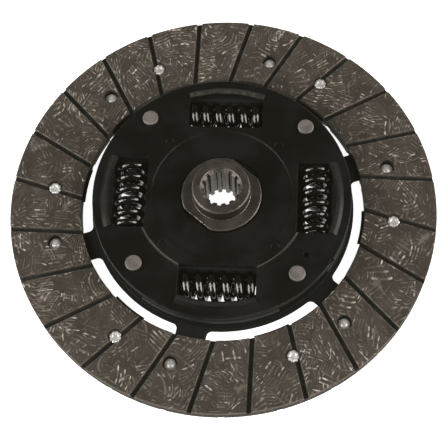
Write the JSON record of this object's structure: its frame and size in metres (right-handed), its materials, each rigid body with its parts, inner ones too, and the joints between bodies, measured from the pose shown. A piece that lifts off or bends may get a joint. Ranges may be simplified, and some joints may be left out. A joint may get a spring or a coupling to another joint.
{
  "type": "clutch disc",
  "caption": "Clutch driven plate: ring-shaped grooved friction facings riveted to a waved spoked plate, with a coil-sprung torsion damper and a splined hub.",
  "frame": {"origin": "on the hub axis, midway between the two friction faces, inside the splined bore", "axes": "+Z along the hub axis towards the hub's nose and the gearbox; X and Y in the plane of the disc"},
  "size_m": [0.228, 0.228, 0.0298],
  "materials": {
    "facing": "woven yarn in resin, brown-grey, ground flat",
    "sheet_black": "oiled black spring steel",
    "cover_black": "satin black paint",
    "spring_black": "glossy black",
    "rivet_steel": "bright rolled steel",
    "stop_rivet_steel": "dull grey steel",
    "hub_steel": "bare brown-grey forging, machined",
    "friction_plastic": "dark friction compound",
    "ring_steel": "spring steel"
  },
  "bodies": {
    "disc": {"front_facing": "facing", "rear_facing": "facing", "cushion_plate": "sheet_black", "front_facing_rivets": "rivet_steel", "rear_facing_rivets": "rivet_steel", "front_cover": "cover_black", "drive_plate": "cover_black", "stop_rivets": "stop_rivet_steel", "outer_spring_1": "spring_black", "outer_spring_2": "spring_black", "outer_spring_3": "spring_black", "outer_spring_4": "spring_black", "inner_spring_1": "spring_black", "inner_spring_2": "spring_black", "inner_spring_3": "spring_black", "inner_spring_4": "spring_black", "rear_friction_ring": "friction_plastic", "front_friction_washer": "friction_plastic", "pressure_ring": "ring_steel", "disc_spring": "ring_steel"},
    "hub": {"hub": "hub_steel"}
  },
  "joints": [
    {"name": "damper_turn", "type": "hinge", "parent": "disc", "child": "hub", "pos_m": [0, 0, 0], "axis": [0, 0, 1], "range_deg": [-8.5, 11], "stiffness_Nm_per_rad": 20, "deforming": ["outer_spring_1", "outer_spring_2", "outer_spring_3", "outer_spring_4", "inner_spring_1", "inner_spring_2", "inner_spring_3", "inner_spring_4"]}
  ]
}
